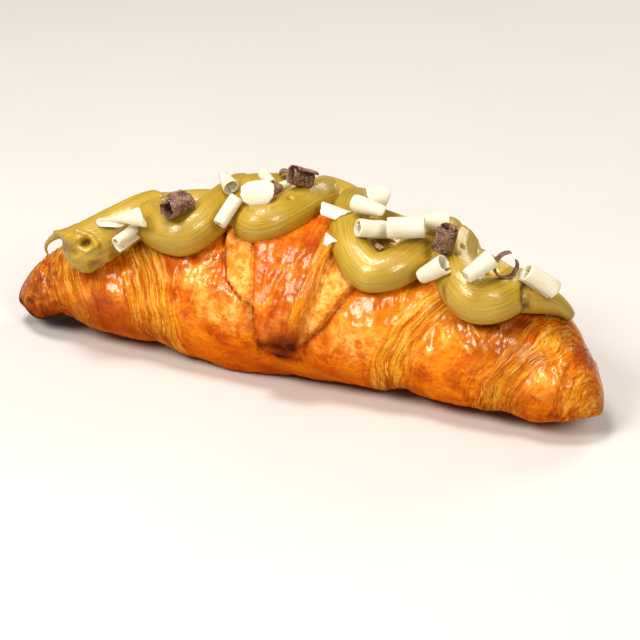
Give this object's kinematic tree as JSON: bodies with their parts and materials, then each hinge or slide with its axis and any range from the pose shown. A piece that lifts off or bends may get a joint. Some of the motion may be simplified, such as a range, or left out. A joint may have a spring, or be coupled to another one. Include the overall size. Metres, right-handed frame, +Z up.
{
  "type": "pistachio croissant",
  "caption": "Nearly straight rolled croissant with a loop-piped pistachio cream along its ridge and chocolate curls strewn on the cream.",
  "frame": {"origin": "on the flat underside, below the middle of the croissant's length", "axes": "+X along the croissant towards its right tip, -Y towards the side that shows the end of the roll, +Z up"},
  "size_m": [0.18, 0.0688, 0.0615],
  "materials": {
    "crust": "egg-washed baked crust, glossy amber skin with matter flaky steps",
    "cream": "smooth pistachio cream with a soft wet sheen",
    "white_chocolate": "ivory white chocolate, waxy and slightly translucent",
    "dark_chocolate": "dark chocolate with a dull greyish bloom"
  },
  "bodies": {
    "root": {"crust": "crust", "cream": "cream", "white_trough": "white_chocolate", "white_cone": "white_chocolate", "white_roll_left": "white_chocolate", "white_roll_upright": "white_chocolate", "white_roll_steep": "white_chocolate", "white_roll_back": "white_chocolate", "dark_scroll_top": "dark_chocolate", "white_shell_wide": "white_chocolate", "dark_shell": "dark_chocolate", "white_strip": "white_chocolate", "dark_chip_back": "dark_chocolate", "white_shard": "white_chocolate", "white_flake": "white_chocolate", "white_cup": "white_chocolate", "white_shell_cone": "white_chocolate", "white_roll_middle": "white_chocolate", "white_roll_thick": "white_chocolate", "dark_scroll_double": "dark_chocolate", "white_shell_right": "white_chocolate", "white_roll_open": "white_chocolate", "dark_ring": "dark_chocolate", "white_roll_slanted": "white_chocolate", "white_roll_right": "white_chocolate", "dark_scroll_left": "dark_chocolate", "dark_chip_front": "dark_chocolate"}
  },
  "joints": []
}
